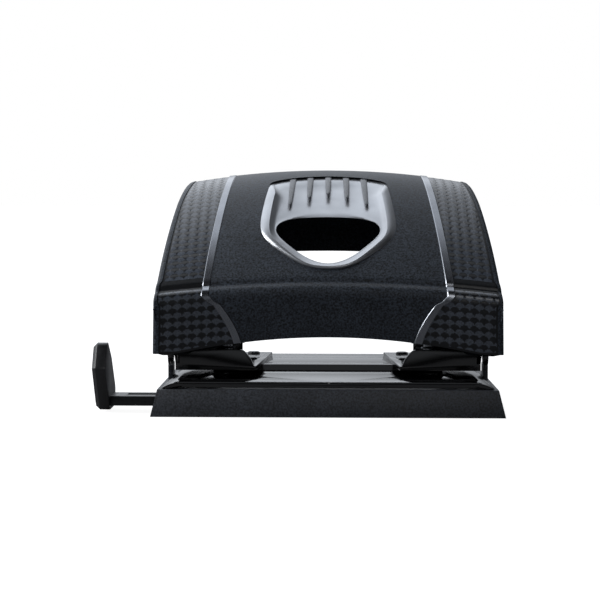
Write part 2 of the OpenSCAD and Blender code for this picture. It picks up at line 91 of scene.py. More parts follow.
# Section of the cover over its middle: round shoulder, groove, valley, long panel, crown and rear wall.
# First column: distance behind the skirt; second: height above the crease; both in millimetres.
SHOULDER_STEPS, GROOVE_STEPS, VALLEY_STEPS, PANEL_STEPS, REAR_STEPS = 12, 6, 8, 120, 60
SECTION = np.concatenate([
    bezier([(0, SKIRT_TOP), (0, 0.4), (0.9, 1.9), (2.4, 2.6)], SHOULDER_STEPS)[:-1],
    bezier([(2.4, 2.6), (2.8, 2.8), (3.2, 2.95), (3.6, 3.2)], GROOVE_STEPS)[:-1],
    bezier([(3.6, 3.2), (4.1, 3.5), (4.0, 4.7), (4.8, 5.5)], VALLEY_STEPS)[:-1],
    bezier([(4.8, 5.5), (0.24 * DEPTH, 0.49 * RISE), (0.53 * DEPTH, RISE), (0.87 * DEPTH, RISE)],
           PANEL_STEPS)[:-1],
    bezier([(0.87 * DEPTH, RISE), (0.97 * DEPTH, RISE), (0.994 * DEPTH, 0.9 * RISE), (DEPTH, REAR_FOOT)],
           REAR_STEPS),
])
_steps = np.linalg.norm(np.diff(SECTION, axis=0), axis=1)
LENGTHS = np.concatenate([[0], np.cumsum(_steps)])
_along = np.gradient(SECTION, LENGTHS, axis=0)
_along /= np.linalg.norm(_along, axis=1)[:, None]
NORMALS = np.stack([-_along[:, 1], _along[:, 0]], axis=1)
T_GROOVE = LENGTHS[SHOULDER_STEPS + GROOVE_STEPS]
T_VALLEY = LENGTHS[SHOULDER_STEPS + GROOVE_STEPS + VALLEY_STEPS]
T_CROWN = LENGTHS[SHOULDER_STEPS + GROOVE_STEPS + VALLEY_STEPS + PANEL_STEPS]
T_END = LENGTHS[-1]


def section(t):
    """Distance back, height and outward normal of the section, t millimetres past the skirt's top."""
    return (np.interp(t, LENGTHS, SECTION[:, 0]), np.interp(t, LENGTHS, SECTION[:, 1]),
            np.interp(t, LENGTHS, NORMALS[:, 0]), np.interp(t, LENGTHS, NORMALS[:, 1]))


def bow(h):
    """How fast the cover falls away from its middle, at height h."""
    return mix(BOW_LOW, BOW_HIGH, min(1.0, max(0.0, h / RISE)))


def skin(x, t, lift=0.0):
    """A point of the cover's outer face, x across and t along the section, in metres."""
    d, h, ny, nz = section(t)
    nx = 2 * bow(h) * x * max(nz, 0)
    size = math.sqrt(nx * nx + ny * ny + nz * nz)
    return Vector(((x + lift * nx / size) * MM,
                   SKIRT_Y + (d + lift * ny / size) * MM,
                   CREASE + (h - bow(h) * x * x + lift * nz / size) * MM))


def skirt(x, q, lift=0.0):
    """A point of the skirt's outer face, at the share q of the way from its foot to its top."""
    top = SKIRT_TOP - bow(0) * x * x
    z = mix(foot(x), top, q)
    return Vector((x * MM, SKIRT_Y + (0.5 * ((top - z) / SKIRT) ** 2 - lift) * MM, CREASE + z * MM))


def half_width(h):
    if h < 0:
        return HALF_W - 0.5 * (h + SKIRT) / SKIRT
    return HALF_W - 0.5 - 0.075 * h - 0.0013 * h * h


def band_x(h):
    """Middle of the smooth band: nearly straight up the panel, swept inwards down the skirt."""
    if h < 0:
        return 33.2 + 13 * (1 + h / SKIRT) ** 1.75
    return 46.2 - 0.09 * h - 0.001 * h * h


def foot(x):
    """Height of the skirt's lower edge."""
    return -SKIRT + ARCH * max(0.0, 1 - (x / ARCH_HALF) ** 2)


def edge_round(t):
    """Radius of the cover's side edge, wider over the crown."""
    ridge = smooth(-1.0, 2.0, t) * (1 - smooth(T_VALLEY, T_VALLEY + 3, t))
    return mix(mix(1.6, 0.7, ridge), 3.0, smooth(0.62 * T_CROWN, 0.98 * T_CROWN, t))


# ---------------------------------------------------------------- modelling helpers

def only(ob):
    """Makes ob the only selected and active object."""
    bpy.ops.object.select_all(action="DESELECT")
    ob.select_set(True)
    bpy.context.view_layer.objects.active = ob
    return ob


def sheet(name, columns, rows, place, kind=None):
    """A grid laid over a surface: place(i, j) gives the point of column i and row j, and kind(i, j)
    the material number of the face between them and the next column and row."""
    bpy.ops.object.select_all(action="DESELECT")
    bpy.ops.mesh.primitive_grid_add(x_subdivisions=columns - 1, y_subdivisions=rows - 1, size=2)
    ob = bpy.context.object
    ob.name = ob.data.name = name
    for p in ob.data.polygons:
        if kind:
            p.material_index = kind(int((p.center.x + 1) / 2 * (columns - 1)),
                                    int((p.center.y + 1) / 2 * (rows - 1)))
    for v in ob.data.vertices:
        i = round((v.co.x + 1) / 2 * (columns - 1))
        j = round((v.co.y + 1) / 2 * (rows - 1))
        v.co = place(i, j)
    return ob


def edit(ob, work):
    """Runs work() in edit mode with all of ob selected."""
    only(ob)
    bpy.ops.object.mode_set(mode="EDIT")
    bpy.ops.mesh.select_mode(type="VERT")
    bpy.ops.mesh.select_all(action="SELECT")
    work()
    bpy.ops.object.mode_set(mode="OBJECT")
    return ob


def merge(ob, distance=1e-6):
    return edit(ob, lambda: bpy.ops.mesh.remove_doubles(threshold=distance))


def face_out(ob):
    return edit(ob, lambda: bpy.ops.mesh.normals_make_consistent(inside=False))


def join(first, *others):
    bpy.ops.object.select_all(action="DESELECT")
    for ob in (first, *others):
        ob.select_set(True)
    bpy.context.view_layer.objects.active = first
    bpy.ops.object.join()
    return first


def modify(ob, kind, **settings):
    """Adds a modifier with its settings and applies it."""
    only(ob)
    modifier = ob.modifiers.new(kind.lower(), kind)
    for key, value in settings.items():
        setattr(modifier, key, value)
    bpy.ops.object.modifier_apply(modifier=modifier.name)
    return ob


def shade(ob, angle=35):
    only(ob)
    bpy.ops.object.shade_smooth_by_angle(angle=math.radians(angle))
    return ob


def paint(ob, *materials):
    """Gives ob its materials; its faces keep their material numbers."""
    numbers = [p.material_index for p in ob.data.polygons]
    ob.data.materials.clear()
    for material in materials:
        ob.data.materials.append(material)
    if len(materials) > 1:
        ob.data.polygons.foreach_set("material_index", numbers)
    return ob


def prism(name, outline, front, back):
    """Closed block with the given front-view outline, from front to back along Y."""
    n = len(outline)
    bpy.ops.object.select_all(action="DESELECT")
    bpy.ops.mesh.primitive_cylinder_add(vertices=n, radius=1, depth=2, end_fill_type="NGON")
    ob = bpy.context.object
    ob.name = name
    for v in ob.data.vertices:
        k = round(math.atan2(v.co.x, v.co.y) / (2 * math.pi) * n) % n
        x, z = outline[k]
        v.co = (x * MM, front if v.co.z < 0 else back, CREASE + z * MM)
    return face_out(ob)


def cut(ob, cutter):
    modify(ob, "BOOLEAN", operation="DIFFERENCE", object=cutter, solver="EXACT")
    bpy.data.objects.remove(cutter)
    return ob


# ---------------------------------------------------------------- materials

def linear(code):
    """sRGB hex colour as linear RGBA."""
    parts = [int(code[i:i + 2], 16) / 255 for i in (1, 3, 5)]
    return (*[c / 12.92 if c <= 0.04045 else ((c + 0.055) / 1.055) ** 2.4 for c in parts], 1.0)


def add(tree, kind, settings=(), links=()):
    """Adds a node; settings name its properties or sockets, links feed its sockets."""
    n = tree.nodes.new(kind)
    for key, value in dict(settings).items():
        if key in n.inputs:
            n.inputs[key].default_value = value
        else:
            setattr(n, key, value)
    for key, source in dict(links).items():
        tree.links.new(source, n.inputs[key])
    return n


def new_material(name, **sockets):
    """A material with its shader's constant sockets set; returns it, its tree and its shader."""
    m = bpy.data.materials.new(name)
    m.use_nodes = True
    tree = m.node_tree
    shader = tree.nodes["Principled BSDF"]
    for key, value in sockets.items():
        shader.inputs[key.replace("_", " ")].default_value = value
    return m, tree, shader


def blotch(tree, where, size_mm, detail=2.0):
    """Noise whose patches are about size_mm across."""
    return add(tree, "ShaderNodeTexNoise",
               {"Scale": 1 / (size_mm * MM), "Detail": detail, "Roughness": 0.55},
               {"Vector": where.outputs["Object"]})


def ramp(tree, source, stops):
    """Colour ramp from (position, colour) stops."""
    n = add(tree, "ShaderNodeValToRGB", {}, {"Fac": source})
    while len(n.color_ramp.elements) < len(stops):
        n.color_ramp.elements.new(0.5)
    for element, (place, colour) in zip(n.color_ramp.elements, stops):
        element.position = place
        element.color = colour
    return n


def span(tree, source, low, high):
    """The source's 0 to 1 as low to high."""
    n = add(tree, "ShaderNodeMapRange", {"To Min": low, "To Max": high}, {"Value": source})
    return n.outputs["Result"]


def moulded(name, dark, light, rough, grain_mm, height_mm, metal=0.0, coat=0.0, shine=0.5):
    """ABS moulded against a spark-eroded die: fine pits scatter the shine and speckle the colour."""
    m, tree, shader = new_material(name, IOR=1.53, Metallic=metal, Specular_IOR_Level=shine,
                                   Coat_Weight=coat, Coat_Roughness=0.25)
    where = add(tree, "ShaderNodeTexCoord")
    grain = blotch(tree, where, grain_mm, 3.0)
    cloud = blotch(tree, where, 14.0, 2.0)
    speck = ramp(tree, grain.outputs["Fac"], [(0.36, linear(dark)), (0.62, linear(light))])
    tint = ramp(tree, cloud.outputs["Fac"], [(0.3, linear("#e2e2e2")), (0.7, linear("#ffffff"))])
    colour = add(tree, "ShaderNodeMix", {"data_type": "RGBA", "blend_type": "MULTIPLY", "Factor": 1.0})
    tree.links.new(speck.outputs["Color"], colour.inputs[6])
    tree.links.new(tint.outputs["Color"], colour.inputs[7])
    tree.links.new(colour.outputs[2], shader.inputs["Base Color"])
    spread = min(0.1, 8 * height_mm)
    gloss = span(tree, grain.outputs["Fac"], rough - spread, rough + spread)
    tree.links.new(gloss, shader.inputs["Roughness"])
    bump = add(tree, "ShaderNodeBump", {"Strength": 0.8, "Distance": height_mm * MM},
               {"Height": grain.outputs["Fac"]})
    tree.links.new(bump.outputs["Normal"], shader.inputs["Normal"])
    return m


def lacquered(name, dark, light, rough):
    """Stamped steel under gloss lacquer: a slight orange peel in the clear reflection."""
    m, tree, shader = new_material(name, IOR=1.5, Specular_IOR_Level=0.75)
    where = add(tree, "ShaderNodeTexCoord")
    peel = blotch(tree, where, 2.2, 1.0)
    dust = blotch(tree, where, 0.5, 3.0)
    colour = ramp(tree, dust.outputs["Fac"], [(0.35, linear(dark)), (0.75, linear(light))])
    tree.links.new(colour.outputs["Color"], shader.inputs["Base Color"])
    tree.links.new(span(tree, dust.outputs["Fac"], rough - 0.03, rough + 0.05), shader.inputs["Roughness"])
    bump = add(tree, "ShaderNodeBump", {"Strength": 0.25, "Distance": 0.02 * MM},
               {"Height": peel.outputs["Fac"]})
    tree.links.new(bump.outputs["Normal"], shader.inputs["Normal"])
    return m


def ground_steel(name, dark, light, rough, stretch):
    """Bare ground or drawn steel: fine lines along the tool's path break up the shine."""
    m, tree, shader = new_material(name, Metallic=1.0)
    where = add(tree, "ShaderNodeTexCoord")
    lines = add(tree, "ShaderNodeMapping", {"Scale": stretch}, {"Vector": where.outputs["Object"]})
    scratch = add(tree, "ShaderNodeTexNoise", {"Scale": 1 / (1.2 * MM), "Detail": 3.0},
                  {"Vector": lines.outputs["Vector"]})
    colour = ramp(tree, scratch.outputs["Fac"], [(0.3, linear(dark)), (0.7, linear(light))])
    tree.links.new(colour.outputs["Color"], shader.inputs["Base Color"])
    tree.links.new(span(tree, scratch.outputs["Fac"], rough - 0.06, rough + 0.1), shader.inputs["Roughness"])
    bump = add(tree, "ShaderNodeBump", {"Strength": 0.3, "Distance": 0.01 * MM},
               {"Height": scratch.outputs["Fac"]})
    tree.links.new(bump.outputs["Normal"], shader.inputs["Normal"])
    return m


COVER_ABS = moulded("grained_black_ABS", "#0a0c0f", "#373e48", 0.52, 0.7, 0.15, shine=0.22)
# Scale finishes of the grips. The matt copy is darker: painted shade for the shaded rows of scales and the
# grip recess. The polished copy is lighter: painted light for the lit rows.
SCALE_MATT_PAINTED_SHADE = moulded("scaled_black_ABS", "#0a0c0f", "#121418", 0.34, 0.7, 0.006, shine=0.3)
SCALE_GLOSS_PAINTED_LIGHT = moulded("polished_scaled_black_ABS_painted_light", "#3b4049", "#474d57", 0.26, 0.7, 0.004, shine=0.5)
BAND_LACQUER = moulded("gunmetal_lacquered_ABS", "#7f8288", "#83868c", 0.24, 1.6, 0.002, metal=0.95)
TRAY_ABS = moulded("grained_grey_ABS", "#17191d", "#363a42", 0.48, 0.7, 0.1, shine=0.35)
GUIDE_ABS = moulded("satin_guide_ABS", "#0c0d0f", "#15161a", 0.36, 0.8, 0.015)
TRIM_LACQUER = moulded("silver_lacquered_ABS", "#989ba0", "#9c9fa4", 0.3, 0.5, 0.001, metal=0.7, coat=0.2)
RIB_GREY = moulded("grained_silver_ABS", "#4c4f54", "#74777d", 0.5, 0.45, 0.05)
BLACK_STEEL = lacquered("black_lacquered_steel", "#030304", "#070709", 0.12)
RIVET_STEEL = lacquered("blackened_rivet_steel", "#101113", "#1c1d20", 0.3)
BRIGHT_STEEL = ground_steel("ground_steel", "#9b9ea3", "#c4c7cb", 0.26, (1, 1, 0.1))
SPRING_STEEL = ground_steel("drawn_spring_steel", "#6a6d72", "#8f9298", 0.3, (1, 1, 0.3))


# ---------------------------------------------------------------- handle cover

SIDE_ROWS = 12
BENDS = 4                                    # facets round the side edge
GRIP_COLUMNS = 6
BOSS_R = 3.5
MIDDLE_COLUMNS = 14
KIND_COVER, KIND_GRIP, KIND_BAND = 0, 1, 2
COVER_FINISHES = (COVER_ABS, SCALE_MATT_PAINTED_SHADE, BAND_LACQUER)


def half_columns(h, t):
    """Right half of one row of the cover from its side edge to its middle: x, lift and kind."""
    half, band, r = half_width(h), band_x(h), edge_round(t)
    row = []
    for k in range(BENDS + 1):
        a = math.radians(90 * (1 - k / BENDS))
        row.append((half - r + r * math.sin(a), -r * (1 - math.cos(a)), KIND_COVER))
    rim = half - r - MARGIN
    row.append((rim, 0.0, KIND_COVER))
    inner = band + BAND_HALF
    for k in range(GRIP_COLUMNS + 1):
        row.append((mix(rim - 0.05, inner + 0.05, k / GRIP_COLUMNS), -GRIP_SUNK, KIND_GRIP))
    row.append((inner, 0.0, KIND_BAND))
    row.append((inner - 0.3, BAND_LIFT, KIND_BAND))
    row.append((band - BAND_HALF + 0.3, BAND_LIFT, KIND_BAND))
    row.append((band - BAND_HALF, 0.0, KIND_BAND))
    row.append((band - BAND_HALF - 0.05, 0.0, KIND_COVER))
    for k in range(1, MIDDLE_COLUMNS // 2 + 1):
        row.append((mix(band - BAND_HALF - 0.05, 0.0, k / (MIDDLE_COLUMNS // 2)), 0.0, KIND_COVER))
    return row


def whole_columns(h, t):
    right = half_columns(h, t)
    left = [(-x, lift, kind) for x, lift, kind in right]
    return left + right[-2::-1]


def skirt_row(q):
    """Columns of the skirt at the share q of the way from its foot to its top."""
    h = mix(-SKIRT, SKIRT_TOP, q)
    for _ in range(3):
        x = band_x(h)
        h = mix(foot(x), SKIRT_TOP - bow(0) * x * x, q)
    return whole_columns(h, -1.0)


PANEL_T = np.concatenate([np.linspace(0, T_VALLEY, 17)[:-1], np.linspace(T_VALLEY, T_CROWN, 64)[:-1],
                          np.linspace(T_CROWN, T_END, 26)])


def front_rows():
    rows = []
    for j in range(SIDE_ROWS):
        q = j / SIDE_ROWS
        rows.append([skirt(x, q, lift) for x, lift, _ in skirt_row(q)])
    for t in PANEL_T:
        h = section(t)[1]
        rows.append([skin(x, t, lift) for x, lift, _ in whole_columns(h, t)])
    return rows


def side_low(y):
    """Height of the side wall's lower edge at y metres."""
    d = (y - SKIRT_Y) / MM
    start, end = WALL + 0.4, DEPTH - WALL - 2
    return mix(-SKIRT, REAR_FOOT, min(1.0, max(0.0, (d - start) / (end - start))))


def make_cover():
    rows = front_rows()
    kinds = [kind for _, _, kind in whole_columns(0.0, 0.0)]
    columns = len(kinds)

    def kind(i, j):
        pair = {kinds[i], kinds[i + 1]}
        return KIND_BAND if pair == {KIND_BAND} else KIND_GRIP if KIND_GRIP in pair else KIND_COVER
    front = paint(sheet("handle_cover_shell", columns, len(rows), lambda i, j: rows[j][i], kind),
                  *COVER_FINISHES)
    sides = []
    for side, edge in ((-1, 0), (1, columns - 1)):
        def place(i, j, edge=edge, side=side):
            top = rows[SIDE_ROWS + i][edge]
            if i == 0:
                return rows[j][edge]
            share = j / SIDE_ROWS
            y = mix(mix(rows[0][edge].y, rows[-1][edge].y, i / (len(PANEL_T) - 1)), top.y, share)
            z = mix(CREASE + side_low(y) * MM, top.z, share)
            h = (z - CREASE) / MM
            x = side * half_width(h + bow(h) * HALF_W ** 2) * MM
            return Vector((mix(x, top.x, share), y, z))
        sides.append(paint(sheet("side", len(PANEL_T), SIDE_ROWS + 1, place), *COVER_FINISHES))
    cover = join(front, *sides)
    merge(cover, 2e-6)
    face_out(cover)
    count = len(cover.data.vertices)
    modify(cover, "SOLIDIFY", thickness=SHELL * MM, offset=-1.0, use_even_offset=False)
    # Inner points left outside the side walls are set back inside. On the flat ends of the rear wall
    # this fixed direction reaches too far back, by about half a millimetre.
    for outer, inner in zip(cover.data.vertices[:count], cover.data.vertices[count:]):
        if abs(inner.co.x) > abs(outer.co.x) - 1e-5 and abs(outer.co.x) > 0.75 * HALF_W * MM:
            inward = Vector((-math.copysign(1, outer.co.x), 0.3, -0.3))
            inner.co = outer.co + SHELL * MM * inward.normalized()
    trim = prism("trim_cutter", TRIM_OUTLINE, SKIRT_Y - 5 * MM, SKIRT_Y + 0.84 * DEPTH * MM)
    cut(cover, trim)
    return join(cover, *[make_boss(x, y) for x, y in screw_spots()])


def screw_spots():
    """Places of the four screws that hold the cover, in metres."""
    points = [v.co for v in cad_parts["cover_screws"].data.vertices]
    middle = sum((p.y for p in points)) / len(points)
    spots = []
    for right in (False, True):
        for behind in (False, True):
            own = [p for p in points if (p.x > 0) == right and (p.y > middle) == behind]
            spots.append([(min(p[n] for p in own) + max(p[n] for p in own)) / 2 for n in (0, 1)])
    return spots


def make_boss(x, y):
    """Screw boss from the lever's press bar up into the cover's inner face."""
    bpy.ops.object.select_all(action="DESELECT")
    bpy.ops.mesh.primitive_cylinder_add(vertices=32, radius=BOSS_R * MM, depth=1)
    boss = bpy.context.object
    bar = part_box("lever_frame")[1].z
    for v in boss.data.vertices:
        across, back = v.co.x + x, v.co.y + y
        t = float(np.interp((back - SKIRT_Y) / MM, SECTION[:, 0], LENGTHS))
        v.co = (across, back, skin(across / MM, t, 0.2 - SHELL).z if v.co.z > 0 else bar)
    boss.location = (0, 0, 0)
    return paint(boss, *COVER_FINISHES)


# ---------------------------------------------------------------- window, trim and ribs

WINDOW_HALF, WINDOW_LOW, WINDOW_HIGH = 20.2, 10.2, 27.4
FRAME_W, TRIM_TOP, TRIM_CROWN = 6.2, 42.0, 1.8
TRIM_SIDE = 24                               # where the curve of the trim's top has dropped by TRIM_CROWN
BOWL_HALF = 23
AROUND = 240                                 # points round the window
CENTRE_H = 20.0                              # height of the point that the outlines are drawn from


def round_trip(right):
    """Closed outline from its right half, as points at equal angles seen from inside."""
    right = np.array(right)
    whole = np.concatenate([right, right[::-1] * (-1, 1)])
    shares = np.linspace(0, 1, 30)[:-1, None]
    whole = np.concatenate([mix(a, b, shares) for a, b in zip(whole, np.roll(whole, -1, axis=0))
                            if np.linalg.norm(b - a) > 1e-6])
    angle = np.unwrap(np.arctan2(whole[:, 1] - CENTRE_H, whole[:, 0]))
    reach = np.hypot(whole[:, 0], whole[:, 1] - CENTRE_H)
    order = np.argsort(angle)
    points = []
    for k in range(AROUND):
        a = angle[0] + 2 * math.pi * k / AROUND
        r = 1 / np.interp(a, angle[order], 1 / reach[order])
        points.append((r * math.cos(a), CENTRE_H + r * math.sin(a)))
    return points


def window_right():
    half, low, tall = WINDOW_HALF, WINDOW_LOW, WINDOW_HIGH - WINDOW_LOW
    return np.concatenate([
        bezier([(0, low), (0.22 * half, low), (0.44 * half, low + 0.116 * tall),
                (0.65 * half, low + 0.297 * tall)], 24),
        bezier([(0.65 * half, low + 0.297 * tall), (0.84 * half, low + 0.46 * tall),
                (half, low + 0.605 * tall), (half, low + 0.72 * tall)], 24),
        bezier([(half, low + 0.72 * tall), (half, low + 0.884 * tall),
                (0.81 * half, WINDOW_HIGH), (0, WINDOW_HIGH)], 40)])


def trim_right():
    half, low, mid = WINDOW_HALF + FRAME_W, WINDOW_LOW - 2.3, WINDOW_HIGH - 2.8
    return np.concatenate([
        bezier([(0, low), (0.3 * half, low), (0.45 * half, low + 2), (0.8 * half, low + 8.4)], 24),
        bezier([(0.86 * half, low + 9.8), (0.97 * half, low + 12), (half, mid - 2), (half, mid)], 16),
        bezier([(half, mid + 1), (half, mid + 4), (0.93 * half, TRIM_TOP - 4),
                (0.89 * half, TRIM_TOP - 1.4)], 16),
        bezier([(0.88 * half, TRIM_TOP - 1), (0.85 * half, TRIM_TOP), (0.5 * half, TRIM_TOP + TRIM_CROWN),
                (0, TRIM_TOP + TRIM_CROWN)], 24)])


WINDOW_OUTLINE = round_trip(window_right())
TRIM_OUTLINE = round_trip(trim_right())
_panel = (LENGTHS >= T_VALLEY) & (LENGTHS <= T_CROWN)


def panel_t(x, z):
    """Where on the section the panel shows at x across and z above the crease in front view."""
    heights = np.array([h - bow(h) * x * x for h in SECTION[_panel, 1]])
    return float(np.interp(z, heights, LENGTHS[_panel]))


BAND_ROWS, DISH_ROWS = 9, 14
BAND_W = 3.6                                 # width of the frame's outer bevel at its sides
RIDGE = 0.95                                 # height of the crisp line between bevel and dish
DISH = -0.4
WALL_W = 2.4                                 # width of the slope from that line down into the dish
SUNK_SHIFT = 0.8                             # height that a sunk point loses in front view, per mm
BOWL = 2.0                                   # extra depth in the middle above the window
UNDER = -1.1                                 # depth at which the frame passes under the panel


def frame_point(k, row):
    """Point of the frame's face on ray k: rows of bevel from the outside in, then rows of dish."""
    (ox, oz), (wx, wz) = TRIM_OUTLINE[k], WINDOW_OUTLINE[k]
    width = math.hypot(ox - wx, oz - wz)
    edge_top = TRIM_TOP + TRIM_CROWN * (1 - (ox / TRIM_SIDE) ** 2)
    flank = smooth(0.2, 2.6, edge_top - oz)
    bevel = mix(1.5, BAND_W, smooth(WINDOW_LOW - 2, WINDOW_LOW + 9, oz))
    bevel = mix(0.3, min(bevel, 0.62 * width), flank) / width
    low, high = mix(UNDER, -0.1, flank), mix(UNDER, RIDGE, flank)
    if row < BAND_ROWS:
        u = row / (BAND_ROWS - 1)
        share, lift = bevel * u, mix(low, high, math.sin(0.5 * math.pi * u) ** 0.9)
    else:
        v = smooth(0, DISH_ROWS, row - BAND_ROWS + 1)
        share = mix(bevel, 1.0, v)
        wall = max(0.0, 1 - v * (1 - bevel) * width / WALL_W) ** 1.5
        lift = mix(DISH, high, wall) + 0.12 * smooth(0.75, 0.93, v) - 0.15 * smooth(0.94, 1.0, v)
    x, z = mix(ox, wx, share), mix(oz, wz, share)
    if row >= BAND_ROWS:
        lift -= BOWL * (1 - min(1.0, abs(x) / BOWL_HALF) ** 2) * smooth(18, 27, z) * smooth(0, 0.3, v)
    return skin(x, panel_t(x, z - SUNK_SHIFT * lift), lift)


# The frame's way back from the window's edge: millimetres outwards and back from that edge.
WALL_ROWS = [(0.05, 0.2), (0.12, 0.9), (0.2, 3.4), (1.0, 3.4)]
UNDER_ROWS = [(0.5, -2.6), (0.0, -2.4)]      # share of the way in and lift of the frame's underside
LINER_ROWS = (1, 3)                          # the black wall behind the frame


def make_trim():
    face_rows = BAND_ROWS + DISH_ROWS

    def place(i, j):
        k = i % AROUND
        if j < face_rows:
            return frame_point(k, j)
        (ox, oz), (wx, wz) = TRIM_OUTLINE[k], WINDOW_OUTLINE[k]
        if j < face_rows + len(WALL_ROWS):
            out, back = WALL_ROWS[j - face_rows]
            away = Vector((wx, 0, wz - CENTRE_H)).normalized()
            return frame_point(k, face_rows - 1) + (out * away + Vector((0, back, 0))) * MM
        share, lift = UNDER_ROWS[j - face_rows - len(WALL_ROWS)]
        x, z = mix(ox, wx, share), mix(oz, wz, share)
        return skin(x, panel_t(x, z), lift)

    def kind(i, j):
        return int(LINER_ROWS[0] <= j - face_rows < LINER_ROWS[1])
    trim = sheet("window_trim_frame", AROUND + 1, face_rows + len(WALL_ROWS) + len(UNDER_ROWS), place, kind)
    merge(trim, 1e-6)
    edit(trim, lambda: (bpy.ops.mesh.select_all(action="DESELECT"), bpy.ops.mesh.select_non_manifold(),
                        bpy.ops.mesh.bridge_edge_loops()))
    face_out(trim)
    return trim


# Each rib: how far across its top and its lower end are, and the height of the lower end.
RIBS = [(-14.3, -15.1, 32.8), (-7.2, -7.5, 35.5), (0.0, 0.0, 36.9), (7.2, 7.5, 35.5), (14.3, 15.1, 32.8)]


def make_rib(top_x, low_x, low_h):
    """A tapered bar that stands in the dish, level with the panel at its top."""
    def place(i, j):
        s = j / 8
        x = mix(low_x, top_x, s) + (i / 4 - 0.5) * mix(1.5, 2.7, s)
        round_end = 0.5 * (1 - (2 * i / 4 - 1) ** 2) * (1 - s) ** 4
        z = mix(low_h, TRIM_TOP + TRIM_CROWN * (1 - (top_x / TRIM_SIDE) ** 2) + 0.4, s) - round_end
        crown = 0.12 * (1 - (2 * i / 4 - 1) ** 2)
        return skin(x, panel_t(x, z), mix(0.15, -0.45, s) + crown)
    rib = sheet("rib", 5, 9, place)
    face_out(rib)
    modify(rib, "SOLIDIFY", thickness=2.2 * MM, offset=-1.0)
    modify(rib, "BEVEL", width=0.18 * MM, segments=2, limit_method="ANGLE", angle_limit=math.radians(40))
    return rib


# ---------------------------------------------------------------- grip panels

SCALE_W = 3.65                               # width of one scale
SCALE_ROW = 1.65                             # from one row of scales to the next
SCALE_R = 1.9
SCALE_TILT = 0.06                            # slope of each scale's face
SCALE_DOME = 0.05
GRIP_T = 0.45                                # thickness of the scaled panel
GRIP_LIFT = -0.3                             # depth of its plain surface under the cover's


def scale_at(a, b):
    """Relief of overlapping scales and whether the scale's row is an odd one: each row covers the one
    above, and rows tip up and down in turn."""
    low_row = math.floor((b - SCALE_R) / SCALE_ROW)
    for row in range(low_row, low_row + 4):
        shift = 0.5 * SCALE_W * (row % 2)
        da = (a - shift + 0.5 * SCALE_W) % SCALE_W - 0.5 * SCALE_W
        db = b - row * SCALE_ROW
        away = math.hypot(da, db)
        if away < SCALE_R:
            tilt = SCALE_TILT * (db - 0.45 * SCALE_R) * (1 if row % 2 else -1)
            return tilt + SCALE_DOME * (1 - (away / SCALE_R) ** 2), row % 2
    return 0.0, 0


def make_grip(side):
    """One scaled panel, from the skirt's foot over the crown, in its shallow recess."""
    columns, rows = 76, 330
    skirt_len = SKIRT + SKIRT_TOP
    t_low, t_high = -skirt_len, T_CROWN + 9
    stations = np.linspace(t_low, t_high, rows)

    def limits(t):
        """Outer and inner edge of the panel's row at t."""
        if t >= 0:
            h = section(t)[1]
            return half_width(h) - edge_round(t) - MARGIN - 0.02, band_x(h) + BAND_HALF + 0.02
        row = skirt_row(1 + t / skirt_len)
        grips = [x for x, _, kind in row if kind == KIND_GRIP and x > 0]
        return max(grips) + 0.03, min(grips) - 0.03

    across = [limits(t) for t in stations]

    def spot(i, j):
        """Distance across and along the panel, distance along its scales and depth of its relief."""
        low = min(int(j), rows - 2)
        outer, inner = (mix(across[low][n], across[low + 1][n], j - low) for n in (0, 1))
        t = mix(stations[low], stations[low + 1], j - low)
        x = mix(inner, outer, i / (columns - 1))
        relief = smooth(0.1, 1.2, outer - x) * smooth(0.0, 0.3, x - inner)
        relief *= 1 - 0.9 * smooth(T_GROOVE - 3, T_GROOVE, t) * (1 - smooth(0.5, 5.0, t - T_VALLEY))
        relief *= 1 - smooth(-2.0, 0.0, t - t_high)
        if t >= 0:
            return x, t, t, relief
        q = 1 + t / skirt_len
        top = SKIRT_TOP - bow(0) * x * x
        return x, t, mix(foot(x), top, q) - top, relief * smooth(0.2, 2.5, q * skirt_len)

    def place(i, j):
        x, t, b, relief = spot(i, j)
        lift = GRIP_LIFT + relief * scale_at(side * x, b)[0]
        return skin(side * x, t, lift) if t >= 0 else skirt(side * x, max(1 + t / skirt_len, 0.012), lift)

    # Odd rows of scales take the lighter polished copy and even rows the darker matt copy, so their light
    # and shade are painted on.
    def kind(i, j):
        x, _, b, relief = spot(i + 0.5, j + 0.5)
        return scale_at(side * x, b)[1] if relief > 0.35 else 0
    grip = sheet("left_grip_panel" if side < 0 else "right_grip_panel", columns, rows, place, kind)
    paint(grip, SCALE_MATT_PAINTED_SHADE, SCALE_GLOSS_PAINTED_LIGHT)
    face_out(grip)
    modify(grip, "SOLIDIFY", thickness=GRIP_T * MM, offset=-1.0, use_even_offset=False)
    return grip


# ---------------------------------------------------------------- pieces taken over from the frame

def chamfer_left_rim(ob, width_mm):
    """Chamfers the rim of ob's left face, and not the pocket inside it."""
    only(ob)
    low, high = (Vector(f(v.co[n] for v in ob.data.vertices) for n in range(3)) for f in (min, max))
    left = min(v.co.x for v in ob.data.vertices)
    rim = [v.index for v in ob.data.vertices if v.co.x < left + 1e-5]
    middle = sum((ob.data.vertices[i].co for i in rim), Vector()) / len(rim)
    outward = set()
    for p in ob.data.polygons:
        if abs(p.normal.x) < 0.3 and p.normal.dot(p.center - middle) > 0:
            outward.update(tuple(sorted(key)) for key in p.edge_keys)
    bpy.ops.object.mode_set(mode="EDIT")
    bpy.ops.mesh.select_mode(type="EDGE")
    bpy.ops.mesh.select_all(action="DESELECT")
    bpy.ops.object.mode_set(mode="OBJECT")
    for e in ob.data.edges:
        e.select = (all(ob.data.vertices[i].co.x < left + 1e-5 for i in e.vertices)
                    and tuple(sorted(e.vertices)) in outward)
    bpy.ops.object.mode_set(mode="EDIT")
    bpy.ops.mesh.bevel(offset=width_mm * MM, segments=1, offset_type="OFFSET")
    bpy.ops.object.mode_set(mode="OBJECT")
    for v in ob.data.vertices:
        v.co = [min(max(c, a), b) for c, a, b in zip(v.co, low, high)]


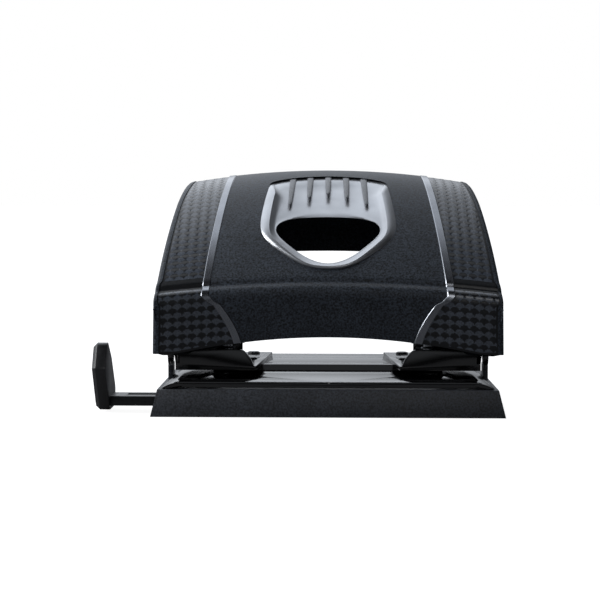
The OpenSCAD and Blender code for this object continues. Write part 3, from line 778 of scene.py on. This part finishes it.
def finished(node, material, slot, bevel_mm, body, angle=30, chamfer_mm=0):
    """A merged copy of a CAD piece with its sharp edges eased."""
    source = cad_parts[node]
    ob = source.copy()
    ob.data = source.data.copy()
    ob.name = ob.data.name = node + "_finished"
    ob.parent = None
    bpy.context.scene.collection.objects.link(ob)
    merge(ob, 2e-6)
    if chamfer_mm:
        chamfer_left_rim(ob, chamfer_mm)
    if bevel_mm:
        modify(ob, "BEVEL", width=bevel_mm * MM, segments=2, limit_method="ANGLE",
               angle_limit=math.radians(angle), use_clamp_overlap=True)
    shade(ob)
    paint(ob, material)
    return seat(ob, body, slot, node)


def seat(ob, body, slot, *nodes):
    """Puts a piece on its body and hides the CAD nodes it stands for; slot, the name of its finish, is not
    used.
    """
    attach(ob, body)
    if nodes:
        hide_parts(*nodes)
    return ob


# ---------------------------------------------------------------- the object


cover = shade(make_cover(), 32)
seat(cover, "handle", "cover_plastic", "handle_cover")

for hand in (-1, 1):
    grip = shade(make_grip(hand), 50)
    seat(grip, "handle", "cover_plastic")

trim = paint(shade(make_trim(), 28), TRIM_LACQUER, COVER_ABS)
ribs = [make_rib(*rib) for rib in RIBS]
ribs = paint(shade(join(*ribs), 40), RIB_GREY)
ribs.name = "window_trim_ribs"
seat(trim, "handle", "trim_plastic", "window_trim")
seat(ribs, "handle", "trim_plastic")

finished("chip_tray", TRAY_ABS, "tray_plastic", 0.35, "tray")
finished("tray_hinge_pins", BRIGHT_STEEL, "bright_steel", 0.15, "tray")
finished("base_plate", BLACK_STEEL, "black_steel", 0.3, "chassis")
finished("left_bracket", BLACK_STEEL, "black_steel", 0.25, "chassis")
finished("right_bracket", BLACK_STEEL, "black_steel", 0.25, "chassis")
finished("bracket_rivets", RIVET_STEEL, "black_rivet", 0.2, "chassis")
finished("left_hinge_pin", BRIGHT_STEEL, "bright_steel", 0.2, "chassis")
finished("right_hinge_pin", BRIGHT_STEEL, "bright_steel", 0.2, "chassis")
for node, joint in (("left_spring", "left_punch_slide"), ("right_spring", "right_punch_slide")):
    low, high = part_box(node)
    spring = finished(node, SPRING_STEEL, "spring_steel", 0, "chassis")
    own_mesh(spring)
finished("left_punch", BRIGHT_STEEL, "bright_steel", 0.1, "punch_left")
finished("right_punch", BRIGHT_STEEL, "bright_steel", 0.1, "punch_right")
finished("left_punch_clip", SPRING_STEEL, "spring_steel", 0.1, "punch_left")
finished("right_punch_clip", SPRING_STEEL, "spring_steel", 0.1, "punch_right")
finished("lever_frame", BLACK_STEEL, "black_steel", 0.25, "handle")
finished("cover_screws", BRIGHT_STEEL, "bright_steel", 0.12, "handle")
finished("guide_rail", GUIDE_ABS, "guide_plastic", 0.35, "guide")
finished("paper_stop", GUIDE_ABS, "guide_plastic", 0.4, "guide", chamfer_mm=1.5)


# ---------------------------------------------------------------- floor, light and camera

def lit_floor():
    """White sweep: almost burnt out to the eye, a softer grey to what the object mirrors."""
    bpy.ops.object.select_all(action="DESELECT")
    bpy.ops.mesh.primitive_plane_add(size=60, location=(0, 0, -0.0002))
    floor = bpy.context.object
    floor.name = "studio_floor"
    m, tree, shader = new_material("white_studio_floor", Roughness=0.9, Specular_IOR_Level=0.1)
    shader.inputs["Emission Color"].default_value = linear("#ffffff")
    path = add(tree, "ShaderNodeLightPath")
    eye = path.outputs["Is Camera Ray"]
    glow = add(tree, "ShaderNodeMapRange", {"To Min": 0.02, "To Max": 0.93}, {"Value": eye})
    tone = add(tree, "ShaderNodeMix", {"data_type": "RGBA"}, {"Factor": eye})
    tone.inputs[6].default_value = linear("#6c6c6e")
    tone.inputs[7].default_value = linear("#8c8c8e")
    tree.links.new(glow.outputs["Result"], shader.inputs["Emission Strength"])
    tree.links.new(tone.outputs[2], shader.inputs["Base Color"])
    paint(floor, m)


def studio_world():
    """White all round to the eye; what the object mirrors is a soft box high up behind, a dimmer
    backdrop below it, white cards in front and on the left, and a black flag on the right."""
    world = bpy.data.worlds.new("studio")
    bpy.context.scene.world = world
    world.use_nodes = True
    tree = world.node_tree
    tree.nodes.clear()
    where = add(tree, "ShaderNodeTexCoord")
    split = add(tree, "ShaderNodeSeparateXYZ", {}, {"Vector": where.outputs["Generated"]})

    def fade(source, low, high, start, end):
        return add(tree, "ShaderNodeMapRange", {"interpolation_type": "SMOOTHSTEP", "From Min": low,
                                                "From Max": high, "To Min": start, "To Max": end},
                   {"Value": source}).outputs["Result"]
    back = fade(split.outputs["Y"], -0.1, 0.2, 0.0, 1.0)
    height = fade(split.outputs["Z"], 0.2, 0.5, 0.7, 2.2)
    left = fade(split.outputs["X"], -0.35, -0.8, 0.0, 1.0)
    raised = fade(split.outputs["Z"], 0.1, 0.4, 0.0, 0.9)
    wing = add(tree, "ShaderNodeMath", {"operation": "MULTIPLY"}, {0: left, 1: raised})
    ahead = fade(split.outputs["Y"], -0.85, -0.97, 0.0, 1.0)
    above = fade(split.outputs["Z"], 0.05, 0.2, 0.0, 0.35)
    card = add(tree, "ShaderNodeMath", {"operation": "MULTIPLY"}, {0: ahead, 1: above})
    right_flag = fade(split.outputs["X"], -0.05, 0.5, 1.0, 0.08)
    left_flag = fade(split.outputs["X"], -0.45, -0.85, 1.0, 0.3)
    flags = add(tree, "ShaderNodeMath", {"operation": "MULTIPLY"}, {0: right_flag, 1: left_flag})
    inside = add(tree, "ShaderNodeMath", {"operation": "MULTIPLY"}, {0: back, 1: flags.outputs[0]})
    lit_back = add(tree, "ShaderNodeMath", {"operation": "MULTIPLY"}, {0: inside.outputs[0], 1: height})
    cards = add(tree, "ShaderNodeMath", {"operation": "ADD"}, {0: card.outputs[0], 1: wing.outputs[0]})
    total = add(tree, "ShaderNodeMath", {"operation": "ADD"}, {0: lit_back.outputs[0], 1: cards.outputs[0]})
    lamp = add(tree, "ShaderNodeBackground", {"Color": linear("#eef3fa")}, {"Strength": total.outputs[0]})
    eye = add(tree, "ShaderNodeBackground", {"Color": linear("#ffffff"), "Strength": 1.0})
    path = add(tree, "ShaderNodeLightPath")
    both = add(tree, "ShaderNodeMixShader", {}, {"Fac": path.outputs["Is Camera Ray"]})
    tree.links.new(lamp.outputs["Background"], both.inputs[1])
    tree.links.new(eye.outputs["Background"], both.inputs[2])
    out = add(tree, "ShaderNodeOutputWorld")
    tree.links.new(both.outputs["Shader"], out.inputs["Surface"])


def soft_light(name, place, size, power):
    """A rectangular lamp turned towards the middle of the object."""
    data = bpy.data.lights.new(name, "AREA")
    data.shape = "RECTANGLE"
    data.size, data.size_y = size
    data.energy = power
    ob = bpy.data.objects.new(name, data)
    ob.location = place
    ob.rotation_euler = (Vector((0, 0, 0.05)) - Vector(place)).to_track_quat("-Z", "Y").to_euler()
    bpy.context.scene.collection.objects.link(ob)


CAMERA_BACK, CAMERA_UP = 545, 79.4           # millimetres before the tray and over the desk
CAMERA_LENS = 88.9
CAMERA_DOWN, CAMERA_ROLL, CAMERA_TURN = 3.75, -0.09, 1.09


def studio_camera():
    """Level with the handle's shoulders, straight on to the front."""
    tray_low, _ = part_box("chip_tray")
    data = bpy.data.cameras.new("camera")
    data.sensor_width = 36
    data.lens = CAMERA_LENS
    data.clip_start, data.clip_end = 0.01, 100
    ob = bpy.data.objects.new("camera", data)
    ob.location = (0, tray_low.y - CAMERA_BACK * MM, CAMERA_UP * MM)
    ob.rotation_euler = [math.radians(a) for a in (90 - CAMERA_DOWN, CAMERA_ROLL, CAMERA_TURN)]
    bpy.context.scene.collection.objects.link(ob)
    bpy.context.scene.camera = ob


lit_floor()
studio_world()
soft_light("key", (-0.75, -0.1, 0.5), (0.4, 0.4), 6)
soft_light("front_fill", (0.3, -0.9, 0.6), (0.5, 0.3), 1.2)
studio_camera()
bpy.context.scene.view_settings.view_transform = "Standard"
